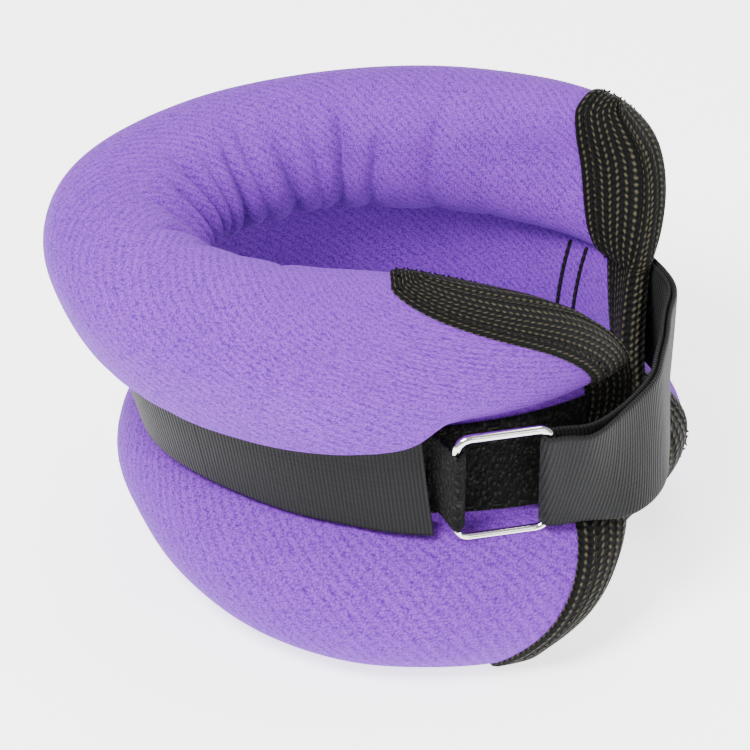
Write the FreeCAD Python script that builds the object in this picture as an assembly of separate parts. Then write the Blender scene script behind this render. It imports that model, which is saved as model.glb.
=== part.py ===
import FreeCAD
import Part
import math
import os

# Ankle cuff weight: a soft sleeve of two filled lobes with a flat sewn band between
# them, wrapped round the ankle and held by a webbing strap that runs through a wire
# ring. Millimetres. +Z runs up the leg, +X points to the gap between the two ends.
# The origin is the middle of the cuff's bounding box, at the surface it stands on.
HEIGHT = 108.0
BAND_LOW = 40.0
BAND_HIGH = 71.0
LOBE_SWELL = 23.5
END_SWELL = 2.5
SLEEVE_LENGTH = 355.0
END_TAPER = 85.0
SECTION_POINTS = 14
TAPER_STEPS = 9
BODY_STEP = 21.0
REST_FLAT = 0.4
TAPE_LEVELS = 5
BAND_LAP = 2.0
BAND_SIDE_PINCH = 1.4

# The sleeve's mid surface is an egg in plan at every height, pointing at the gap:
# its centre, its length to the left, to the right and its half width.
PLAN_LOW = {"z": 19.5, "centre": (8.0, 1.0), "left": 50.0, "right": 67.0, "half": 52.0}
PLAN_HIGH = {"z": 88.5, "centre": (8.5, 0.0), "left": 68.5, "right": 77.0, "half": 53.0}

# The two sewn ends: height, angle round the egg, and how far the end stands out.
REAR_SEAM = [(4, -12, 9), (24, -12, 13), (40, -7.5, 6), (55, 2.5, 2.5),
             (72, 15.5, 5), (93, 32, 17), (104, 38, 15)]
FRONT_SEAM = [(4, 302, 30), (18, 311, 30), (34, 319, 24), (55, 327, 11),
              (72, 330, 4), (88, 317, -5), (104, 285, -9)]
REAR_FLARE = 97.0
FRONT_FLARE = 110.0
SEAM_LEAN = 0.40
FLARE_POWER = 1.6

# Layers of one face of the sleeve, outwards from its mid surface.
COVER_WALL = 3.0
LINER_GAP = 0.1
LINER_WALL = 0.6
BAND_HALF = 2.5
PILE_IN = 2.6
PILE_OUT = 4.2
PILE_LOW = 43.0
PILE_HIGH = 68.0
BINDING_WALL = 1.2
BINDING_REACH = 14.0
BINDING_TURN = 1.4
BAG_SETBACK = 10.0

# Strap webbing: its width stands in Z.
STRAP_LOW = 40.5
STRAP_HIGH = 70.5
STRAP_THICK = 1.5
ROOT_IN = 4.7
LAY_IN = 6.5
LEFT_LIFT = 5.0
END_LIFT = 2.5
HOOK_THICK = 1.2
LAYER_GAP = 0.1

ROOT_ANGLE = 36.0
TAIL_ANGLE = 225.0
TAIL_END_ANGLE = 281.5
FLEX_ANGLE = 180.0
SPLIT_GAP = 0.4
TAPE_SPLIT = 1.2
BODY_GAP = 0.6

WIRE_RADIUS = 1.25
RING_LENGTH = 26.6
RING_RISE = 33.5
RING_CORNER = 4.0
RING_ANGLE = 303.0
RING_STAND = 14.4
RING_DENT = 0.5
RING_SWING = 20.0
DENT_STEPS = 5
BAR_CLEARANCE = 0.3
FOLD_LEG = 8.0
TAB_LOW = 43.0
TAB_HIGH = 68.0
TAB_WALL = 1.2
TAB_OUT = 6.7
TAB_ANGLE = 274.0
TAB_FLAT = 9.0

STITCH_LENGTH = 4.0
STITCH_PITCH = 7.0
STITCH_WIDE = 0.8
STITCH_DEEP = 0.25
ROOT_STITCH_ROWS = 6.0

# Middle of the finished cuff's bounding box, which becomes the origin.
CENTRE_X = 8.94
CENTRE_Y = -3.89

BAND_MID = (BAND_LOW + BAND_HIGH) / 2
UP = FreeCAD.Vector(0, 0, 1)


def clamp(value, low, high):
    return max(low, min(high, value))


def through(rows, z, column):
    """Smooth curve through hand-set rows, read at height z."""
    last = len(rows) - 1
    i = 0
    while i < last - 1 and rows[i + 1][0] < z:
        i = i + 1
    slopes = []
    for j in (i, i + 1):
        a = rows[max(j - 1, 0)]
        b = rows[min(j + 1, last)]
        slopes.append((b[column] - a[column]) / (b[0] - a[0]))
    span = rows[i + 1][0] - rows[i][0]
    t = clamp((z - rows[i][0]) / span, -0.2, 1.2)
    value = (2 * t**3 - 3 * t**2 + 1) * rows[i][column]
    value = value + (t**3 - 2 * t**2 + t) * span * slopes[0]
    value = value + (3 * t**2 - 2 * t**3) * rows[i + 1][column]
    return value + (t**3 - t**2) * span * slopes[1]


def sheet(angle, z):
    """Point of the sleeve's mid surface and its outward normal, by angle and height."""
    k = clamp((z - PLAN_LOW["z"]) / (PLAN_HIGH["z"] - PLAN_LOW["z"]), -0.2, 1.2)
    size = {}
    for key in ("left", "right", "half"):
        size[key] = PLAN_LOW[key] + k * (PLAN_HIGH[key] - PLAN_LOW[key])
    centre = []
    for a, b in zip(PLAN_LOW["centre"], PLAN_HIGH["centre"]):
        centre.append(a + k * (b - a))
    turn = math.radians(angle)
    reach = size["right"] if math.cos(turn) > 0 else size["left"]
    normal = FreeCAD.Vector(math.cos(turn) / reach, math.sin(turn) / size["half"], 0)
    normal.normalize()
    from_rear = clamp(1 - (angle - through(REAR_SEAM, z, 1)) / REAR_FLARE, 0, 1)
    from_front = clamp(1 - (through(FRONT_SEAM, z, 1) - angle) / FRONT_FLARE, 0, 1)
    flare = through(REAR_SEAM, z, 2) * from_rear**FLARE_POWER
    flare = flare + through(FRONT_SEAM, z, 2) * from_front**FLARE_POWER
    x = centre[0] + reach * math.cos(turn)
    y = centre[1] + size["half"] * math.sin(turn)
    return FreeCAD.Vector(x, y, z) + normal * flare, normal


def angle_at(s, z):
    """Angle round the egg at the share s of the way from the rear end to the front end."""
    rear = through(REAR_SEAM, BAND_MID, 1)
    front = through(FRONT_SEAM, BAND_MID, 1)
    near_rear = clamp(1 - s / SEAM_LEAN, 0, 1)**FLARE_POWER
    near_front = clamp(1 - (1 - s) / SEAM_LEAN, 0, 1)**FLARE_POWER
    angle = rear + s * (front - rear)
    angle = angle + (through(REAR_SEAM, z, 1) - rear) * near_rear
    return angle + (through(FRONT_SEAM, z, 1) - front) * near_front


def swell(s):
    """Half thickness of a lobe: full in the middle, closed like a pillow at the ends."""
    distance = min(s, 1 - s) * SLEEVE_LENGTH
    share = clamp(distance / END_TAPER, 0, 1)
    return END_SWELL + (LOBE_SWELL - END_SWELL) * math.sqrt(1 - (1 - share)**2)


def stations(half, start, stop=SLEEVE_LENGTH * 0.61):
    """Places along one half of the sleeve, closer together where the end swells."""
    distances = []
    for step in range(TAPER_STEPS + 1):
        distances.append(END_TAPER * (1 - math.cos(math.pi / 2 * step / TAPER_STEPS)))
    while distances[-1] < SLEEVE_LENGTH * 0.6:
        distances.append(distances[-1] + BODY_STEP)
    distances = [start] + [d for d in distances if start < d < stop] + [stop]
    if half == "rear":
        return [d / SLEEVE_LENGTH for d in distances]
    return [1 - d / SLEEVE_LENGTH for d in distances]


def lobe(low, high, shares, inset):
    """One lobe between two heights, drawn in by inset all round (or out, if negative)."""
    middle = (low + high) / 2
    draw = 6 / (4 + 2 * math.cos(2 * math.pi / SECTION_POINTS))
    rows = []
    for s in shares:
        centre, normal = sheet(angle_at(s, middle), middle)
        foot = sheet(angle_at(s, low), low)[0]
        head = sheet(angle_at(s, high), high)[0]
        rise = (head - foot) / 2 * (1 - inset / ((high - low) / 2))
        bulge = swell(s) - inset
        row = []
        for step in range(SECTION_POINTS):
            t = 2 * math.pi * step / SECTION_POINTS
            up = math.sin(t)
            band_side = up > 0 if low < BAND_LOW else up < 0
            power = BAND_SIDE_PINCH if band_side else 1.0
            side = math.copysign(abs(math.cos(t))**power, math.cos(t))
            row.append(centre + rise * (up * draw) + normal * (bulge * side * draw))
        rows.append(row)
    spans = len(rows) - 3
    surface = Part.BSplineSurface()
    surface.buildFromPolesMultsKnots(
        rows, [4] + [1] * (spans - 1) + [4], [1] * (SECTION_POINTS + 1),
        list(range(spans + 1)), list(range(SECTION_POINTS + 1)), False, True, 3, 3)
    side = surface.toShape()
    faces = [side]
    for edge in side.Edges:
        if edge.isClosed():
            faces.append(Part.Face(Part.Wire([edge])))
    shell = Part.Shell(faces)
    shell.sewShape()
    return Part.Solid(shell)


def spline(points):
    """Smooth edge through points, evenly spaced in its parameter."""
    curve = Part.BSplineCurve()
    curve.interpolate(Points=points, Parameters=[float(i) for i in range(len(points))])
    return curve.toShape()


def tape(low, high, thick, rail):
    """Flat tape between two heights; rail(z) gives its outer face and outward normals."""
    wires = []
    for step in range(TAPE_LEVELS + 1):
        z = low + (high - low) * step / TAPE_LEVELS
        outer = []
        inner = []
        for point, outward in rail(z):
            outer.append(point)
            inner.append(point - outward * thick)
        inner.reverse()
        wires.append(Part.Wire([spline(outer), Part.makeLine(outer[-1], inner[0]),
                                spline(inner), Part.makeLine(inner[-1], outer[0])]))
    return Part.makeLoft(wires, True, False)


def laid(start, stop, steps, out):
    """Rail of a tape laid on the band; angles and stand-off may be rules."""
    def rail(z):
        first = start(z) if callable(start) else start
        last = stop(z) if callable(stop) else stop
        places = []
        for step in range(steps + 1):
            angle = first + (last - first) * step / steps
            point, normal = sheet(angle, z)
            stand = out(angle) if callable(out) else out
            places.append((point + normal * stand, normal))
        return places
    return rail


def seam_angle(distance, half):
    """Rule for the angle at a distance along the sleeve from one end, at any height."""
    s = distance / SLEEVE_LENGTH
    return lambda z: angle_at(s if half == "rear" else 1 - s, z)


def strap_out(angle):
    """How far the strap's outer face stands off: it bows out at the left and at its end."""
    left = math.exp(-((angle - 203.0) / 24.0)**2)
    end = clamp((angle - 262.0) / 20.0, 0, 1)
    lift = LEFT_LIFT * left + END_LIFT * end * end * (3 - 2 * end)
    return LAY_IN + STRAP_THICK + lift


def half_only(shape, half):
    """Trim a solid to one side of the flex line at the left of the cuff."""
    side = SPLIT_GAP / 2
    size = 300.0
    if half == "rear":
        corner = FreeCAD.Vector(PLAN_LOW["centre"][0] - size, side - size, -size / 2)
    else:
        corner = FreeCAD.Vector(PLAN_LOW["centre"][0] - size, -side, -size / 2)
    return shape.cut(Part.makeBox(size, size, size, corner))


def stitch(point, along, outward):
    """One stitch: a flat bar lying along the seam on a surface."""
    across = along.cross(outward)
    across.normalize()
    start = point - along * (STITCH_LENGTH / 2) - across * (STITCH_WIDE / 2)
    corners = [start, start + along * STITCH_LENGTH,
               start + along * STITCH_LENGTH + across * STITCH_WIDE,
               start + across * STITCH_WIDE, start]
    face = Part.Face(Part.makePolygon(corners))
    return face.extrude(outward * STITCH_DEEP)


def tape_stitches(start, stop, heights, out):
    """Rows of stitches along the band at the given heights."""
    stitches = []
    middle = sheet((start + stop) / 2, BAND_MID)[0]
    radius = middle.distanceToPoint(FreeCAD.Vector(8, 0, BAND_MID))
    count = int(abs(stop - start) * math.pi / 180 * radius / STITCH_PITCH)
    for z in heights:
        for step in range(count):
            angle = start + (stop - start) * (step + 0.5) / count
            point, normal = sheet(angle, z)
            along = sheet(angle + 1, z)[0] - sheet(angle - 1, z)[0]
            along.normalize()
            stitches.append(stitch(point + normal * out, along, normal))
    return Part.makeCompound(stitches)


def plate(outline, low, high):
    """Upright solid with a closed plan outline."""
    wire = Part.Wire(outline)
    wire.translate(UP * low)
    return Part.Face(wire).extrude(UP * (high - low))


def ring_frame():
    """Middle of each ring bar, the direction along the ring and its outward normal."""
    right, outward = sheet(RING_ANGLE, BAND_MID)
    right = right + outward * RING_STAND
    before, normal = sheet(RING_ANGLE - 20, BAND_MID)
    before = before + normal * RING_STAND
    along = right - before
    along.z = 0
    along.normalize()
    left = right - along * RING_LENGTH
    return left, right, along, along.cross(UP)


parts = {}
LEFT_BAR, RIGHT_BAR, RING_ALONG, RING_OUT = ring_frame()
PIECES = {"lower": (-REST_FLAT, BAND_LOW), "upper": (BAND_HIGH, HEIGHT)}

# Sleeve, its two shot bags in liners, the pile strip and the end binding, by halves.
for half in ("rear", "front"):
    lap_low = BAND_LOW - BAND_LAP
    lap_high = BAND_HIGH + BAND_LAP
    past = FLEX_ANGLE + 8 if half == "rear" else FLEX_ANGLE - 8
    rail = laid(seam_angle(0, half), past, 16, BAND_HALF)
    skin = tape(lap_low, lap_high, 2 * BAND_HALF, rail)
    wrap_half = BAND_HALF + BINDING_WALL
    rail = laid(seam_angle(-BINDING_TURN, half), seam_angle(BINDING_REACH, half), 4, wrap_half)
    wraps = [tape(lap_low, lap_high, 2 * wrap_half, rail)]
    whole = stations(half, 0)
    edge = stations(half, -BINDING_TURN, BINDING_REACH)
    cavities = []
    for level, (low, high) in PIECES.items():
        skin = skin.fuse(lobe(low, high, whole, 0))
        wraps.append(lobe(low, high, edge, -BINDING_WALL))
        inset = COVER_WALL
        cavities.append(lobe(low, high, stations(half, BAG_SETBACK), inset))
        inset = inset + LINER_GAP
        bag = lobe(low, high, stations(half, BAG_SETBACK + LINER_GAP), inset)
        inset = inset + LINER_WALL
        hollow = lobe(low, high, stations(half, BAG_SETBACK + LINER_WALL), inset)
        shot = lobe(low, high, stations(half, BAG_SETBACK + 1), inset + LINER_GAP)
        parts["liner_%s_%s" % (level, half)] = half_only(bag.cut(hollow), half)
        parts["fill_%s_%s" % (level, half)] = half_only(shot, half)
    floor = Part.makeBox(400, 400, 10, FreeCAD.Vector(-200, -200, -10))
    skin = skin.cut(floor)
    wraps = [wrap.cut(skin).cut(floor) for wrap in wraps]
    parts["end_binding_" + half] = wraps[0].multiFuse(wraps[1:])
    for cavity in cavities:
        skin = skin.cut(cavity)
    parts["cover_" + half] = half_only(skin, half)

# Loop-pile strip along the outside of the band, and its two rows of stitching.
for half in ("rear", "front"):
    stop = FLEX_ANGLE if half == "rear" else FLEX_ANGLE + TAPE_SPLIT
    rail = laid(seam_angle(BINDING_REACH + 0.5, half), stop, 12, PILE_OUT)
    parts["pile_strip_" + half] = tape(PILE_LOW, PILE_HIGH, PILE_OUT - PILE_IN, rail)
    ends = [angle_at(0, PILE_HIGH) + 16, FLEX_ANGLE - 3]
    if half == "front":
        ends = [FLEX_ANGLE + 3, angle_at(1, PILE_LOW) - 16]
    heights = (PILE_LOW + 1.5, PILE_HIGH - 1.5)
    parts["pile_stitching_" + half] = tape_stitches(ends[0], ends[1], heights, PILE_OUT + 0.04)

# Stitching that holds the end bindings, on both faces of each lobe.
for half in ("rear", "front"):
    stitches = []
    s = (BINDING_REACH - 3) / SLEEVE_LENGTH
    s = s if half == "rear" else 1 - s
    for low, high in PIECES.values():
        middle = (low + high) / 2
        centre, normal = sheet(angle_at(s, middle), middle)
        rise = (sheet(angle_at(s, high), high)[0] - sheet(angle_at(s, low), low)[0]) / 2
        bulge = swell(s) + BINDING_WALL
        for side in (1, -1):
            for step in range(-2, 3):
                t = math.radians(22.0 * step)
                along = rise * math.cos(t) - normal * (side * bulge * math.sin(t))
                along.normalize()
                point = centre + rise * math.sin(t) + normal * (side * bulge * math.cos(t))
                stitches.append(stitch(point, along, normal * side))
    parts["binding_stitching_" + half] = Part.makeCompound(stitches)

# Wire ring: a rounded rectangle of round wire, standing on its two long sides.
def ring_point(along, up):
    return LEFT_BAR + RING_ALONG * along + UP * up


reach = RING_LENGTH
rise = RING_RISE / 2
quarter = RING_CORNER * (1 - math.sqrt(0.5))
edges = []
corner_list = [((0, -rise), 1, 1), ((reach, -rise), -1, 1), ((reach, rise), -1, -1),
               ((0, rise), 1, -1)]
ends = []
for (x, z), right, up in corner_list:
    side = ring_point(x + right * RING_CORNER, z)
    middle = ring_point(x + right * quarter, z + up * quarter)
    stand = ring_point(x, z + up * RING_CORNER)
    ends.append((stand, middle, side))
edges.append(Part.Arc(*ends[0]).toShape())
edges.append(Part.LineSegment(ends[0][2], ends[1][2]).toShape())
edges.append(Part.Arc(ends[1][2], ends[1][1], ends[1][0]).toShape())
edges.append(Part.LineSegment(ends[1][0], ends[2][0]).toShape())
edges.append(Part.Arc(*ends[2]).toShape())
edges.append(Part.LineSegment(ends[2][2], ends[3][2]).toShape())
edges.append(Part.Arc(ends[3][2], ends[3][1], ends[3][0]).toShape())
edges.append(Part.LineSegment(ends[3][0], ends[0][0]).toShape())
path = Part.Wire(edges)
profile = Part.Wire([Part.Circle(ends[0][0], UP, WIRE_RADIUS).toShape()])
parts["ring"] = path.makePipeShell([profile], True, True)
profile = Part.Wire([Part.Circle(ends[0][0], UP, WIRE_RADIUS + RING_DENT).toShape()])
dent = path.makePipeShell([profile], True, True)
for step in range(DENT_STEPS + 1):
    swung = dent.rotated(LEFT_BAR, UP, -RING_SWING * step / DENT_STEPS)
    parts["cover_front"] = parts["cover_front"].cut(swung)

# Strap fold: the webbing turned round the ring's right bar, open towards the gap.
inner = WIRE_RADIUS + BAR_CLEARANCE
outer = inner + STRAP_THICK
pivot = FreeCAD.Vector(RIGHT_BAR.x, RIGHT_BAR.y, 0)
def fold_point(along, out):
    return pivot + RING_ALONG * along + RING_OUT * out


outline = [
    Part.LineSegment(fold_point(FOLD_LEG, outer), fold_point(0, outer)).toShape(),
    Part.Arc(fold_point(0, outer), fold_point(-outer, 0), fold_point(0, -outer)).toShape(),
    Part.LineSegment(fold_point(0, -outer), fold_point(FOLD_LEG, -outer)).toShape(),
    Part.LineSegment(fold_point(FOLD_LEG, -outer), fold_point(FOLD_LEG, -inner)).toShape(),
    Part.LineSegment(fold_point(FOLD_LEG, -inner), fold_point(0, -inner)).toShape(),
    Part.Arc(fold_point(0, -inner), fold_point(-inner, 0), fold_point(0, inner)).toShape(),
    Part.LineSegment(fold_point(0, inner), fold_point(FOLD_LEG, inner)).toShape(),
    Part.LineSegment(fold_point(FOLD_LEG, inner), fold_point(FOLD_LEG, outer)).toShape()]
parts["strap_fold"] = plate(outline, STRAP_LOW, STRAP_HIGH)

# Ring tab: a short tape sewn to the band and turned round the ring's left bar.
inner = WIRE_RADIUS + BAR_CLEARANCE
outer = inner + TAB_WALL
bar = FreeCAD.Vector(LEFT_BAR.x, LEFT_BAR.y, 0)
tab = Part.makeCylinder(outer, TAB_HIGH - TAB_LOW, bar + UP * TAB_LOW)


def tab_rail(z):
    """The tab's doubled leg: flat on the pile strip, then up to the ring's bar."""
    places = laid(TAB_ANGLE, TAB_ANGLE + TAB_FLAT, 3, TAB_OUT)(z)
    face = bar + UP * z - RING_OUT * (outer - 2 * TAB_WALL)
    return places + [(face, RING_OUT)]


tab = tab.fuse(tape(TAB_LOW, TAB_HIGH, 2 * TAB_WALL, tab_rail))
hole = Part.makeCylinder(inner, HEIGHT, bar)
parts["ring_tab"] = tab.cut(hole)
stitches = []
for angle in (TAB_ANGLE + 1, TAB_ANGLE + TAB_FLAT - 1):
    for z in range(int(TAB_LOW) + 4, int(TAB_HIGH) - 2, 6):
        point, normal = sheet(angle, z)
        stitches.append(stitch(point + normal * (TAB_OUT + 0.05), UP, normal))
parts["ring_tab_stitching"] = Part.makeCompound(stitches)

# Strap across the gap: where its outer face runs, lower edge then upper edge. The part on
# the ring's side of the split moves with the ring.
GAP_LOW = [(93.0, 5), (93.2, -8), (92.8, -22), (91.8, -36.2), (89.3, -49.4), (80.4, -60.8)]
GAP_HIGH = [(95.3, 8), (93.6, -4), (91.9, -16), (89.7, -27.3), (86.8, -38.2), (78.6, -51.4)]
GAP_SPLIT = 1
STRAP_PRESS = 0.5
ARM_STOP = 17.0


def gap_places(z, layer, side):
    """A strap layer's places across the gap: up to the split, or on to the ring's fold."""
    inset = 0 if layer == "outer" else LAY_IN - ROOT_IN
    face = WIRE_RADIUS + BAR_CLEARANCE
    face = face + STRAP_THICK if layer == "outer" else -face
    share = (z - STRAP_LOW) / (STRAP_HIGH - STRAP_LOW)
    path = []
    for low, high in zip(GAP_LOW, GAP_HIGH):
        x = low[0] + share * (high[0] - low[0])
        y = low[1] + share * (high[1] - low[1])
        path.append(FreeCAD.Vector(x, y, z))
    end = fold_point(FOLD_LEG + LAYER_GAP, face) + UP * z
    places = []
    for i, point in enumerate(path):
        following = path[i + 1] if i + 1 < len(path) else end
        outward = UP.cross(following - path[max(i - 1, 0)])
        outward.normalize()
        places.append((point - outward * inset, outward))
    places.append((end, RING_OUT))
    (before, outward), (after, turned) = places[GAP_SPLIT:GAP_SPLIT + 2]
    shift = BODY_GAP / 2 / before.distanceToPoint(after)
    middle = outward + turned
    middle.normalize()
    if side == "rear":
        return places[:GAP_SPLIT + 1] + [(before + (after - before) * (0.5 - shift), middle)]
    return [(before + (after - before) * (0.5 + shift), middle)] + places[GAP_SPLIT + 1:]


def arm_and_gap(start, steps, out, layer):
    """Rail of a strap layer from an angle on the sleeve to the split in the gap."""
    return lambda z: laid(start, ARM_STOP, steps, out)(z) + gap_places(z, layer, "rear")


rail = arm_and_gap(ROOT_ANGLE + 4, 3, ROOT_IN + STRAP_THICK, "inner")
parts["strap_root"] = tape(STRAP_LOW, STRAP_HIGH, STRAP_THICK, rail)
rail = arm_and_gap(FLEX_ANGLE, 13, strap_out, "outer")
parts["strap_back_run"] = tape(STRAP_LOW, STRAP_HIGH, STRAP_THICK, rail)
for layer in ("inner", "outer"):
    rail = lambda z: gap_places(z, layer, "ring")
    parts["strap_gap_" + layer] = tape(STRAP_LOW, STRAP_HIGH, STRAP_THICK, rail)
    # The soft binding is pressed back where the strap lies on it.
    proud = lambda z: [(p + n * STRAP_PRESS, n) for p, n in gap_places(z, layer, "ring")]
    press = tape(STRAP_LOW - STRAP_PRESS, STRAP_HIGH + STRAP_PRESS,
                 STRAP_THICK + 2 * STRAP_PRESS, proud)
    parts["end_binding_front"] = parts["end_binding_front"].cut(press)

# Two rows of stitching hold the strap's root; they show on the inner face of the band.
stitches = []
for turn in (-1, 1):
    for z in range(int(PILE_LOW) + 3, int(PILE_HIGH), 5):
        point, normal = sheet(ROOT_ANGLE, z)
        along = sheet(ROOT_ANGLE + 1, z)[0] - sheet(ROOT_ANGLE - 1, z)[0]
        along.normalize()
        point = point + along * (turn * ROOT_STITCH_ROWS / 2)
        rise = sheet(ROOT_ANGLE, z + 1)[0] - sheet(ROOT_ANGLE, z - 1)[0]
        rise.normalize()
        stitches.append(stitch(point - normal * (BAND_HALF + 0.05), rise, -normal))
parts["strap_root_stitching"] = Part.makeCompound(stitches)

# The strap's run on the front half, its loose tail, and the hook tape under both.
def hook_out(angle):
    return strap_out(angle) - STRAP_THICK - LAYER_GAP


gap_angle = BODY_GAP / 2 / 54.0 * 180 / math.pi
tail_start = TAIL_ANGLE + gap_angle
run_stop = TAIL_ANGLE - gap_angle
rail = laid(FLEX_ANGLE + TAPE_SPLIT, run_stop, 6, strap_out)
parts["strap_front_run"] = tape(STRAP_LOW, STRAP_HIGH, STRAP_THICK, rail)
rail = laid(FLEX_ANGLE + 10, run_stop, 5, hook_out)
parts["hook_tape_front"] = tape(PILE_LOW, PILE_HIGH, HOOK_THICK, rail)
rail = laid(tail_start, TAIL_END_ANGLE, 8, strap_out)
parts["strap_tail"] = tape(STRAP_LOW, STRAP_HIGH, STRAP_THICK, rail)
rail = laid(tail_start, TAB_ANGLE - 1.5, 8, hook_out)
parts["hook_tape_tail"] = tape(PILE_LOW, PILE_HIGH, HOOK_THICK, rail)

os.makedirs("parts", exist_ok=True)
for name, shape in parts.items():
    shape.translate(FreeCAD.Vector(-CENTRE_X, -CENTRE_Y, 0))
    shape.exportStep("parts/%s.step" % name)
    box = shape.BoundBox
    print("%-26s solids %2d valid %s volume %9.0f  x %6.1f %6.1f  y %6.1f %6.1f  z %5.1f %5.1f"
          % (name, len(shape.Solids), shape.isValid(), shape.Volume, box.XMin, box.XMax,
             box.YMin, box.YMax, box.ZMin, box.ZMax))
whole = Part.makeCompound(list(parts.values())).BoundBox
print("whole: x %.2f %.2f  y %.2f %.2f  z %.2f %.2f"
      % (whole.XMin, whole.XMax, whole.YMin, whole.YMax, whole.ZMin, whole.ZMax))
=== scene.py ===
import bpy
import math
import numpy as np
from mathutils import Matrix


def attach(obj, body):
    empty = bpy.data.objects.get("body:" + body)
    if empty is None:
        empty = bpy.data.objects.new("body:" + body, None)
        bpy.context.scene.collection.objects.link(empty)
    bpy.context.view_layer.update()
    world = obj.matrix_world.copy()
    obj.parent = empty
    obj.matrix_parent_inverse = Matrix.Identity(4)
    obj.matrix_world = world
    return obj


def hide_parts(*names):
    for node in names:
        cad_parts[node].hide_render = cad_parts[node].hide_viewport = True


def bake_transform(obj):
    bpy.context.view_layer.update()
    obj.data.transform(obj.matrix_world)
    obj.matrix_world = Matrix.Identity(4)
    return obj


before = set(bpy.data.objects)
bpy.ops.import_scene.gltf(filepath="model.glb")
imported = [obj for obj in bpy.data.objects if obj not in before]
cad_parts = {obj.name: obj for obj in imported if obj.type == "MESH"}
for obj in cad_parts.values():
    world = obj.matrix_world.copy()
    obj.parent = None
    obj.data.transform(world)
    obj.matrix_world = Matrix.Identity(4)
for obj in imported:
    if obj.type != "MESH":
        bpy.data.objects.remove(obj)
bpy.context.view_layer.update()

# Sleeve. Knit-faced neoprene sewn into two long pockets with a flat band between them,
# closed like pillows at both ends and wrapped into an egg round the ankle. The inside of
# the wrap has less room than the outside, so the cloth there gathers into puckers.
MM = 0.001
# Plan of the sleeve's middle surface at two heights: an egg with its centre, its reach to
# the left and to the right, and its half width, in mm.
LOW = {"z": 19.5, "centre": (-0.94, 4.89), "left": 50.0, "right": 67.0, "half": 52.0}
HIGH = {"z": 88.5, "centre": (-0.44, 3.89), "left": 68.5, "right": 77.0, "half": 53.0}
# The two sewn ends: height, plan angle, and how far the end flares outwards.
REAR_SEAM = np.array([(4, -12, 9), (24, -12, 13), (40, -7.5, 6), (55, 2.5, 2.5),
                      (72, 15.5, 5), (93, 32, 17), (104, 38, 15)], float)
FRONT_SEAM = np.array([(4, 302, 30), (18, 311, 30), (34, 319, 24), (55, 327, 11),
                       (72, 330, 4), (88, 317, -5), (104, 285, -9)], float)
SLEEVE = 355.0
BAND = (40.0, 71.0)
BOTTOM = -0.4
TOP = 108.0
BAND_HALF = 2.5
POCKET_SWELL = 21.0
END_CLOSE = 85.0
REAR_FLARE = 97.0
FRONT_FLARE = 110.0
SEAM_LEAN = 0.4
EASE = 1.6


def through(rows, z, column):
    """Smooth curve through the given rows, read at heights z."""
    knots = rows[:, 0]
    values = rows[:, column]
    i = np.clip(np.searchsorted(knots, z) - 1, 0, len(knots) - 2)
    before = np.maximum(i - 1, 0)
    after = np.minimum(i + 2, len(knots) - 1)
    span = knots[i + 1] - knots[i]
    leave = (values[i + 1] - values[before]) / (knots[i + 1] - knots[before]) * span
    arrive = (values[after] - values[i]) / (knots[after] - knots[i]) * span
    t = np.clip((z - knots[i]) / span, -0.2, 1.2)
    value = (2 * t**3 - 3 * t**2 + 1) * values[i] + (t**3 - 2 * t**2 + t) * leave
    return value + (3 * t**2 - 2 * t**3) * values[i + 1] + (t**3 - t**2) * arrive


def sheet(angle, z):
    """Points of the sleeve's middle surface, by plan angle and height, and its normals."""
    angle, z = np.broadcast_arrays(np.asarray(angle, float), np.asarray(z, float))
    k = np.clip((z - LOW["z"]) / (HIGH["z"] - LOW["z"]), -0.2, 1.2)
    left, right, half = (LOW[w] + k * (HIGH[w] - LOW[w]) for w in ("left", "right", "half"))
    turn = np.radians(angle)
    reach = np.where(np.cos(turn) > 0, right, left)
    normal = np.stack([np.cos(turn) / reach, np.sin(turn) / half, 0 * z], axis=-1)
    normal /= np.linalg.norm(normal, axis=-1, keepdims=True)
    rear = np.clip(1 - (angle - through(REAR_SEAM, z, 1)) / REAR_FLARE, 0, 1)**EASE
    front = np.clip(1 - (through(FRONT_SEAM, z, 1) - angle) / FRONT_FLARE, 0, 1)**EASE
    flare = through(REAR_SEAM, z, 2) * rear + through(FRONT_SEAM, z, 2) * front
    x = LOW["centre"][0] + k * (HIGH["centre"][0] - LOW["centre"][0]) + reach * np.cos(turn)
    y = LOW["centre"][1] + k * (HIGH["centre"][1] - LOW["centre"][1]) + half * np.sin(turn)
    return np.stack([x, y, z], axis=-1) + normal * flare[..., None], normal


def angle_at(s, z):
    """Plan angle at the share s of the way from the rear end to the front end."""
    rear = through(REAR_SEAM, np.array(sum(BAND) / 2), 1)
    front = through(FRONT_SEAM, np.array(sum(BAND) / 2), 1)
    near_rear = np.clip(1 - s / SEAM_LEAN, 0, 1)**EASE
    near_front = np.clip(1 - (1 - s) / SEAM_LEAN, 0, 1)**EASE
    angle = rear + s * (front - rear) + (through(REAR_SEAM, z, 1) - rear) * near_rear
    return angle + (through(FRONT_SEAM, z, 1) - front) * near_front


def swell(s):
    """Half thickness of a filled pocket: full in the middle, closed like a pillow."""
    share = np.clip(np.minimum(s, 1 - s) * SLEEVE / END_CLOSE, 0, 1)
    return BAND_HALF + POCKET_SWELL * np.sqrt(1 - (1 - share)**2)


def ramp(x, start, stop):
    """Smooth step from 0 at start to 1 at stop."""
    t = np.clip((x - start) / (stop - start), 0, 1)
    return t * t * (3 - 2 * t)


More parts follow.
